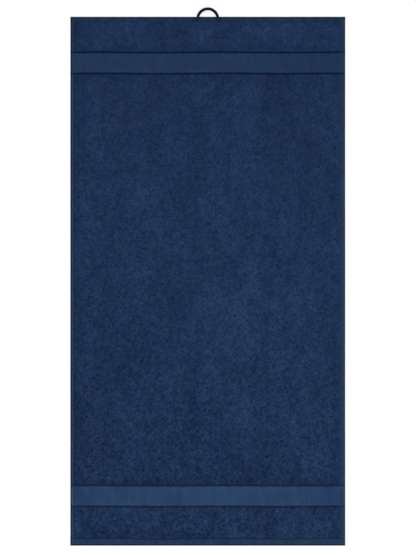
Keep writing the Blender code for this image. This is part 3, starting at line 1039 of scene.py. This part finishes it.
def lay_shade(x, y):
    """Broad tone of the pile with painted light: lighter and darker streaks along it, stronger
    towards the ends, lighter and darker spots, each a bell curve both ways, the broadest of them
    a painted pool of light round the middle, and a slow fall towards the top end."""
    linear, square = STREAK_GROWTH
    streaks = layered_noise(x, y, PILE_STREAKS) * (1 + linear * y + square * y**2)
    shade = (1 + streaks) * (1 - TOP_END_DARKENING * y)
    for centre_x, centre_y, half_width, half_length, lighter in TONE_AND_LIGHT_SPOTS:
        shade *= 1 + lighter * hump(x, centre_x, half_width) * hump(y, centre_y, half_length)
    return shade


def pile_lines(start, end, pile):
    """Places of the pile's grid lines: closer ones on the rounding at each edge, and even ones
    one pitch apart between."""
    at_edge = lines_to_edge(pile.round_run, EDGE_LINES)
    low, high = start + at_edge, end - at_edge[::-1]
    count = max(2, round((high[0] - low[-1]) / pile.pitch))
    return np.concatenate([low, np.linspace(low[-1], high[0], count + 1)[1:-1], high])


def pile_grids(start, end, cloth, pile, seed, patches, *end_shading):
    """(front, back, front shade, back shade, broad tone and painted light) grids of the pile
    between two places along the cloth. The front is the mean height, plus the cloth's long swells,
    plus clumps and tufts from noise and a stray height for each point, all rounded down to the
    foot at the edges. The back is pressed to the surface, with a share of the same unevenness.
    The front shade paints the hollows darker and the tips lighter, and the broad grid adds
    painted shade and light by the edges."""
    start, end = start - pile.lean, end + pile.lean
    left, right = column_joins(cloth)[2:4] + np.array([-pile.lean, pile.lean]) / 2
    x, y = np.meshgrid(pile_lines(left, right, pile), pile_lines(start, end, pile))
    inward = np.minimum(np.minimum(x - left, right - x), np.minimum(y - start, end - y))
    rounding = quarter_round(inward, pile.round_run)
    random = np.random.default_rng(seed)
    swells = sum(
        wave(x / across + y / along, height, 1.0, phase) for height, across, along, phase in PILE_WAVES
    )

    def unevenness(first_seed):
        layers = ((pile.clump, CLUMP_CELL, 1.0, first_seed), (pile.tuft, TUFT_CELL, 1.0, first_seed + 1))
        return layered_noise(x, y, layers) + pile.stray * random.uniform(-1.0, 1.0, x.shape)

    front_relief = unevenness(FRONT_SEED)
    back_relief = pile.back_share * unevenness(BACK_SEED)
    front = pile.foot + (pile.top + swells + front_relief - pile.foot) * rounding
    under = pile.foot - RIM
    back = under + (back_relief - back_relief.min() - under) * rounding

    place_x, place_y = bowed(x, y, cloth)
    sway = SWAY * pile.pitch * smooth_step(inward, 0.0, pile.round_run)
    place_x = place_x + sway * random.uniform(-1.0, 1.0, x.shape)
    place_y = place_y + sway * random.uniform(-1.0, 1.0, x.shape)
    place_y += layered_noise(x, y, RAGGED) * hump(inward, pile.round_run / 2, pile.round_run)

    tone_and_light = lay_shade(x, y) * (1 - EDGE_DARKNESS * (1 - rounding))
    tone_and_light *= 1 + patches * lattice_noise(x, y, PATCH_CELL, PATCH_SEED)
    edges = (y - start, y - end, x - left, x - right)
    for distance, (darker, reach) in zip(edges, (*end_shading, *SIDE_EDGE_SHADING)):
        tone_and_light *= 1 - darker * hump(distance, 0.0, reach)
    contrast = pile.contrast / (pile.clump + pile.tuft + pile.stray) * (1 - HOLLOW_SHADE_GROWTH * y)
    return (
        np.stack([place_x, place_y, front], axis=-1),
        np.stack([place_x, place_y, back], axis=-1),
        1.0 + contrast * front_relief,
        1.0 - contrast * back_relief,
        tone_and_light - 1.0,
    )


def keep_seams_crisp(piece, columns, seams):
    """Marks the edges on seam columns sharp, so that the shading there comes from the relief
    alone and the seam doesn't show."""
    number = np.arange(len(piece.data.vertices)) % columns
    ends = np.zeros(len(piece.data.edges) * 2, np.int32)
    piece.data.edges.foreach_get("vertices", ends)
    on_seam = np.isin(number, seams)[ends.reshape(-1, 2)].all(axis=1)
    sharp = piece.data.attributes.new("sharp_edge", "BOOLEAN", "EDGE")
    sharp.data.foreach_set("value", on_seam)


class HANDTOWEL_OT_raise_pile(bpy.types.Operator):
    """Raise the looped pile of the field and of both ends, on both faces"""

    bl_idname = "handtowel.raise_pile"
    bl_label = "Looped Pile"

    def execute(self, context):
        cloth, pile = context.scene.towel_cloth, context.scene.towel_pile
        rows = row_joins(cloth)
        terry = yarn_material(
            "terry_pile", context.scene.towel_colours.terry, "Terry Loops", {},
            variation(*PILE_NOISES, tint=0.50), roughness=1.0, relief=0.0006, sheen=0.05,
        )
        for name, first, strips, *look in PILE_SECTIONS:
            grids = pile_grids(rows[first], rows[first + 1], cloth, pile, *look)
            last = grids[0].shape[1] - 1
            stops = np.linspace(0, last, strips + 1).round().astype(int)
            for number, (low, high) in enumerate(zip(stops[:-1], stops[1:]), start=1):
                front, back, front_shade, back_shade, tone_and_light = (grid[:, low : high + 1] for grid in grids)
                piece = slab_object(name if strips == 1 else f"{name}_{number}", front, back)
                set_shade(piece, np.concatenate([front_shade.ravel(), back_shade.ravel()]))
                set_shade(piece, np.tile(tone_and_light.ravel(), 2), TONE_AND_LIGHT)
                seams = [column - low for column in (low, high) if 0 < column < last]
                if seams:
                    keep_seams_crisp(piece, high - low + 1, seams)
                piece.data.materials.append(terry)
                fit_to_frame(piece, "terry")
        return {"FINISHED"}


# --- Sewing ---


THREAD_SIDES = 5
BACK_BELOW = 0.0012  # a thread lower than this is on the back
STITCH_STRAY, STITCH_SEED = 0.00018, 51  # how far a stitch's ends lie off its line
SEWN_IN = 0.0007  # how far inside a hem its stitches lie
ROW_END = 0.0016  # how far inside the outline a row of stitches ends
STITCH_RADII = (0.6, 1.0, 1.0, 0.6)  # of a stitch's rings, in thread radii
STITCH_DIVE = 2.2  # how far a stitch's ends dive into the cloth, in thread radii
TACK_RINGS = 9
TACK_ZONE = (0.30, 0.92)  # share of a sewn end over which its tacks lie
TACK_SLANT = 0.22  # how far every other tack leans ahead, and the rest back
TACK_DIVE = 18.0  # of a tack's ends, with the fourth power of the way from its middle
TACK_ROUND, TACK_TIP = 0.2, 0.05  # share of a tack that thins at each end, and how blunt it ends
TACK_SHADE = 0.6
TAIL_POINTS = 200  # of a sewn end, among which the tacks are placed


def thread_object(name, centres, radii):
    """Short threads, each a tube of rings round a row of centres that lies flat, closed at a
    pole at each end. Centres are (threads, rings, 3) and radii (rings,)."""
    threads, rings = centres.shape[:2]
    heading = unit(centres[:, -1, :2] - centres[:, 0, :2])
    aside = np.stack([-heading[:, 1], heading[:, 0], 0 * heading[:, 0]], axis=-1)
    around = spokes(THREAD_SIDES, aside[:, None], np.array([0.0, 0.0, 1.0]))
    rounds = centres[:, :, None, :] + radii[None, :, None, None] * around
    poles = centres[:, [0, -1]]
    poles[:, 0, :2] -= heading * radii[0]
    poles[:, 1, :2] += heading * radii[-1]
    each = rings * THREAD_SIDES + 2
    points = np.concatenate([rounds.reshape(threads, -1, 3), poles], axis=1).reshape(-1, 3)
    index = ring_numbers(rings, THREAD_SIDES)
    first, last = index[0], index[-1]
    start_fan = np.stack([np.full(THREAD_SIDES, each - 2), first[:-1], first[1:]], axis=-1)
    end_fan = np.stack([np.full(THREAD_SIDES, each - 1), last[1:], last[:-1]], axis=-1)
    offsets = (each * np.arange(threads))[:, None, None]
    faces = [
        (part[None] + offsets).reshape(-1, part.shape[1])
        for part in (quads_between(index)[:, ::-1], np.concatenate([start_fan, end_fan]))
    ]
    x, y, z = points[np.concatenate([part.ravel() for part in faces])].T
    return mesh_object(name, points, faces, flat_map(x, y, (z < BACK_BELOW).astype(float)))


def stitch_row(start, end, sizes, seed):
    """(stitches, 2, 2): both ends of each stitch along a straight line, each a little off it."""
    start, end = np.array(start), np.array(end)
    long = np.linalg.norm(end - start)
    heading = (end - start) / long
    count = int(long / sizes.pitch)
    first = (np.arange(count) + 0.5) * long / count - sizes.length / 2
    ends = np.stack([first, first + sizes.length], axis=1)
    aside = np.random.default_rng(seed).uniform(-STITCH_STRAY, STITCH_STRAY, (count, 2))
    across = np.array([-heading[1], heading[0]])
    return start + ends[..., None] * heading + aside[..., None] * across


def sewn_piece(name, centres, radii, shade, colours):
    """Threads as a finished piece, in the sewing thread that hems and tacks share."""
    piece = thread_object(name, centres, radii)
    set_shade(piece, shade)
    finish = bpy.data.materials.get("sewing_thread") or yarn_material(
        "sewing_thread", colours.thread, "Spun Fibres", {}, variation(0.3), roughness=0.7, relief=0.00005
    )
    piece.data.materials.append(finish)
    fit_to_frame(piece, "terry")


class HANDTOWEL_OT_sew_hems(bpy.types.Operator):
    """Stitch down the end hems and the side hems, seen on both faces"""

    bl_idname = "handtowel.sew_hems"
    bl_label = "Hem Stitches"

    def execute(self, context):
        cloth, loop = context.scene.towel_cloth, context.scene.towel_loop
        sizes = context.scene.towel_stitches
        rows, columns = row_joins(cloth), column_joins(cloth)
        end_x, end_y = cloth.width / 2 - ROW_END, cloth.length / 2 - ROW_END
        lines = (
            *(((-end_x, row), (end_x, row)) for row in (rows[1] + SEWN_IN, rows[-2] - SEWN_IN)),
            *(((side, -end_y), (side, end_y)) for side in (columns[1] + SEWN_IN, columns[-2] - SEWN_IN)),
        )
        ends = np.concatenate(
            [stitch_row(*line, sizes, seed) for seed, line in enumerate(lines, STITCH_SEED)]
        )
        along = np.linspace(0.0, 1.0, len(STITCH_RADII))[None, :, None]
        x, y = np.moveaxis(ends[:, :1] * (1 - along) + ends[:, 1:] * along, -1, 0)
        top, under, _ = cloth_heights(x, y, cloth, loop)
        arch = sizes.thread * (1 - STITCH_DIVE * (2 * along[..., 0] - 1) ** 2)
        faces = (top + arch, np.maximum(under - arch, sizes.thread))
        centres = [np.stack([*bowed(x, y, cloth), face], axis=-1) for face in faces]
        radii = sizes.thread * np.array(STITCH_RADII)
        sewn_piece("hem_stitches", np.concatenate(centres), radii, 1.0, context.scene.towel_colours)
        return {"FINISHED"}


class HANDTOWEL_OT_tack_loop(bpy.types.Operator):
    """Tack the hem down over both ends of the hanging loop"""

    bl_idname = "handtowel.tack_loop"
    bl_label = "Loop Tacks"

    def execute(self, context):
        cloth, loop = context.scene.towel_cloth, context.scene.towel_loop
        sizes = context.scene.towel_stitches
        plan = tail_plan(loop, cloth.length / 2, TAIL_POINTS)
        first, last = TACK_ZONE
        count = int((last - first) * np.linalg.norm(plan[-1] - plan[0]) / sizes.tack_pitch)
        chosen = (np.linspace(first, last, count) * (len(plan) - 1)).astype(int)
        ahead = unit(np.gradient(plan, axis=0)[chosen])
        slant = TACK_SLANT * np.where(np.arange(count) % 2, 1.0, -1.0)[:, None]
        across = np.stack([-ahead[:, 1], ahead[:, 0]], axis=-1) + slant * ahead
        along = np.linspace(-0.5, 0.5, TACK_RINGS)[None, :, None]
        right = plan[chosen][:, None] + sizes.tack_length * along * across[:, None]
        both = np.concatenate([right, right * np.array([-1.0, 1.0])])
        top, _, _ = cloth_heights(both[..., 0], both[..., 1], cloth, loop)
        arch = sizes.thread * (1 - TACK_DIVE * along[..., 0] ** 4)
        centres = np.concatenate([both, (top + arch)[..., None]], axis=-1)
        radii = sizes.thread * quarter_round(0.5 - np.abs(along[0, :, 0]) + TACK_TIP, TACK_ROUND)
        sewn_piece("loop_tacks", centres, radii, TACK_SHADE, context.scene.towel_colours)
        return {"FINISHED"}


# --- Hanging loop ---


CORD_RING_STEP = 0.00030
CORD_SIDES = 64
# painted shade in the braid's hollows, at their deepest
HOLLOW_SHADE = 0.30
PALE_STRAND = 1.45
STRAND_POWER = 0.7  # of the sine that is a strand's section, which makes it fuller
DIVE_HEIGHT = 0.45  # of a strand where it dives under the next


def loop_route(cloth, loop):
    """Centre line of the cord: the right sewn end from its tip, the half ring from right to
    left, and the left sewn end, the mirror of the right one."""
    edge = cloth.length / 2
    entry = math.asin(loop.centre_depth / loop.radius)
    tail_count = math.ceil(loop.tail_radius * loop.tail_bend / CORD_RING_STEP)
    ring_count = math.ceil(loop.radius * (math.pi - 2 * entry) / CORD_RING_STEP)
    right = tail_plan(loop, edge, tail_count)[::-1]
    angle = np.linspace(entry, math.pi - entry, ring_count)[1:-1]
    ring = np.stack(
        [loop.radius * np.cos(angle), edge - loop.centre_depth + loop.radius * np.sin(angle)], axis=-1
    )
    plan = np.concatenate([right, ring, right[::-1] * np.array([-1.0, 1.0])])
    return np.concatenate([plan, cord_height(loop, edge - plan[:, 1])[:, None]], axis=1)


def braid_relief(turn, distance, loop):
    """(height, shade) of the braid at a turn round the cord and a distance along it. Two sets
    of strands wind opposite ways. They cross in cells, which they take in turns to cover, and
    the covering strand is round across and highest, at 1, at the middle of its cell. The
    shade is painted shade that deepens into the hollows as the height falls, and every other
    strand of one set is of paler yarn."""
    one = loop.strands * turn + distance / loop.stitch
    other = loop.strands * turn - distance / loop.stitch
    first_over = (np.floor(one) + np.floor(other)) % 2 == 0
    across = np.where(first_over, one % 1.0, other % 1.0)
    lengthways = np.where(first_over, other % 1.0, one % 1.0)
    rise = DIVE_HEIGHT + (1 - DIVE_HEIGHT) * np.sin(math.pi * lengthways)
    height = np.sin(math.pi * across) ** STRAND_POWER * rise
    pale = first_over & (np.floor(one) % 2 == 0)
    return height, (HOLLOW_SHADE + (1 - HOLLOW_SHADE) * height) * np.where(pale, PALE_STRAND, 1.0)


class HANDTOWEL_OT_braid_loop(bpy.types.Operator):
    """Braid the cord of the hanging loop"""

    bl_idname = "handtowel.braid_loop"
    bl_label = "Hanging Loop"

    def execute(self, context):
        cloth, loop = context.scene.towel_cloth, context.scene.towel_loop
        route = loop_route(cloth, loop)
        steps = np.linalg.norm(np.diff(route, axis=0), axis=1)
        distance = np.concatenate([[0.0], np.cumsum(steps)])
        forward = unit(np.gradient(route, axis=0))
        aside = unit(np.cross(forward, [0.0, 0.0, 1.0]))
        outward = spokes(CORD_SIDES, aside, np.cross(aside, forward))
        turn = np.arange(CORD_SIDES + 1) / CORD_SIDES
        height, shade = braid_relief(turn[None, :-1], distance[:, None], loop)
        radius = cord_radius(loop, cloth.length / 2 - route[:, 1])
        reach = radius[:, None] + loop.relief * (height - 1 + BRAID_OUT)
        points = (route[:, None] + reach[..., None] * outward).reshape(-1, 3)
        index = ring_numbers(len(route), CORD_SIDES)
        sides = quads_between(index)
        caps = np.stack([index[0, :-1][::-1], index[-1, :-1]])
        grid = np.stack(np.meshgrid(turn, distance / distance[-1]), axis=-1).reshape(-1, 2)
        numbers = quads_between(np.arange(index.size).reshape(index.shape))
        corner_places = np.concatenate([grid[numbers].reshape(-1, 2), np.zeros((caps.size, 2))])
        piece = mesh_object("hanging_loop_cord", points, [sides, caps], corner_places)
        set_shade(piece, shade.ravel())
        piece.data.materials.append(
            yarn_material(
                "braided_cord", context.scene.towel_colours.cord, "Spun Fibres", {},
                variation(0.4), roughness=0.8, relief=0.0001,
            )
        )
        fit_to_frame(piece, "cord", "hanging_loop")
        return {"FINISHED"}


# --- Stage ---


SENSOR = 36.0
FLOOR_HALF = 40.0
FLOOR_DROP = 0.00005
KEY_PLACE, KEY_SPREAD = (0.5, -1.6, 2.2), math.radians(35)
FILL_PLACE, FILL_SPREAD = (-0.6, 1.8, 2.0), math.radians(60)
OVERHEAD_PLACE, OVERHEAD_SIZE = (0.08, -0.05, 3.5), 2.2


def aimed_light(name, kind, place, energy):
    """A light of some kind at a place, aimed at the middle of the towel, and its data."""
    data = bpy.data.lights.new(name, kind)
    data.energy = energy
    light = bpy.data.objects.new(name, data)
    bpy.context.scene.collection.objects.link(light)
    aim = Vector(place).to_track_quat("Z", "Y").to_matrix().to_4x4()
    light.matrix_world = Matrix.Translation(place) @ aim
    return data


class HANDTOWEL_OT_set_stage(bpy.types.Operator):
    """Set the floor, the lights and the camera straight above the towel"""

    bl_idname = "handtowel.set_stage"
    bl_label = "Stage"

    def execute(self, context):
        stage, cloth = context.scene.towel_stage, context.scene.towel_cloth
        corners = FLOOR_HALF * np.array([(-1, -1), (1, -1), (1, 1), (-1, 1)])
        points = np.concatenate([corners, np.full((4, 1), -FLOOR_DROP)], axis=1)
        floor = mesh_object("floor", points, [np.arange(4)[None]], corners)
        material, tree, shader = new_material("floor")
        glow = {"Emission Color": (1.0, 1.0, 1.0, 1.0), "Emission Strength": stage.glow}
        plain = {"Base Color": (*stage.floor, 1.0), "Roughness": 1.0, "Specular IOR Level": 0.0}
        set_inputs(tree, shader, {**plain, **glow})
        floor.data.materials.append(material)

        aimed_light("key_light", "SUN", KEY_PLACE, stage.key).angle = KEY_SPREAD
        aimed_light("fill_light", "SUN", FILL_PLACE, stage.fill).angle = FILL_SPREAD
        aimed_light("overhead_light", "AREA", OVERHEAD_PLACE, stage.overhead).size = OVERHEAD_SIZE
        world = bpy.data.worlds.new("surroundings")
        world.use_nodes = True
        world.node_tree.nodes["Background"].inputs["Color"].default_value = (*stage.sky, 1.0)
        context.scene.world = world
        context.scene.view_settings.view_transform = "Standard"

        data = bpy.data.cameras.new("camera")
        data.lens = stage.lens
        data.sensor_width = SENSOR
        height = stage.scale * max(PICTURE) * stage.lens / SENSOR + cloth.hem_top
        camera = bpy.data.objects.new("camera", data)
        camera.location = (stage.camera_x, stage.camera_y, height)
        context.scene.collection.objects.link(camera)
        context.scene.camera = camera
        return {"FINISHED"}


# --- Panel and registration ---


class HANDTOWEL_PT_panel(bpy.types.Panel):
    """Buttons for the towel's pieces and their sizes"""

    bl_idname = "HANDTOWEL_PT_panel"
    bl_label = "Hand Towel"
    bl_space_type = "VIEW_3D"
    bl_region_type = "UI"
    bl_category = "Hand Towel"

    def draw(self, context):
        for operator in OPERATORS:
            self.layout.operator(operator.bl_idname)
        for name in SETTINGS:
            box = self.layout.box()
            group = getattr(context.scene, name)
            for key in group.bl_rna.properties.keys():
                if key not in ("rna_type", "name"):
                    box.prop(group, key)


OPERATORS = (
    HANDTOWEL_OT_set_stage,
    HANDTOWEL_OT_braid_loop,
    HANDTOWEL_OT_weave_cloth,
    HANDTOWEL_OT_raise_pile,
    HANDTOWEL_OT_sew_hems,
    HANDTOWEL_OT_tack_loop,
)
SETTINGS = {
    "towel_cloth": ClothSizes,
    "towel_pile": PileSizes,
    "towel_loop": LoopSizes,
    "towel_stitches": StitchSizes,
    "towel_colours": TowelColours,
    "towel_stage": StageSettings,
}


def register():
    """Registers the properties, the operators and the panel."""
    for name, group in SETTINGS.items():
        bpy.utils.register_class(group)
        setattr(bpy.types.Scene, name, PointerProperty(type=group))
    for cls in (*OPERATORS, HANDTOWEL_PT_panel):
        bpy.utils.register_class(cls)


def unregister():
    """Takes them out again, last ones first."""
    for cls in (HANDTOWEL_PT_panel, *reversed(OPERATORS)):
        bpy.utils.unregister_class(cls)
    for name, group in reversed(list(SETTINGS.items())):
        delattr(bpy.types.Scene, name)
        bpy.utils.unregister_class(group)


def main():
    """Makes every piece."""
    register()
    for operator in OPERATORS:
        package, action = operator.bl_idname.split(".")
        getattr(getattr(bpy.ops, package), action)()


if __name__ == "__main__":
    main()
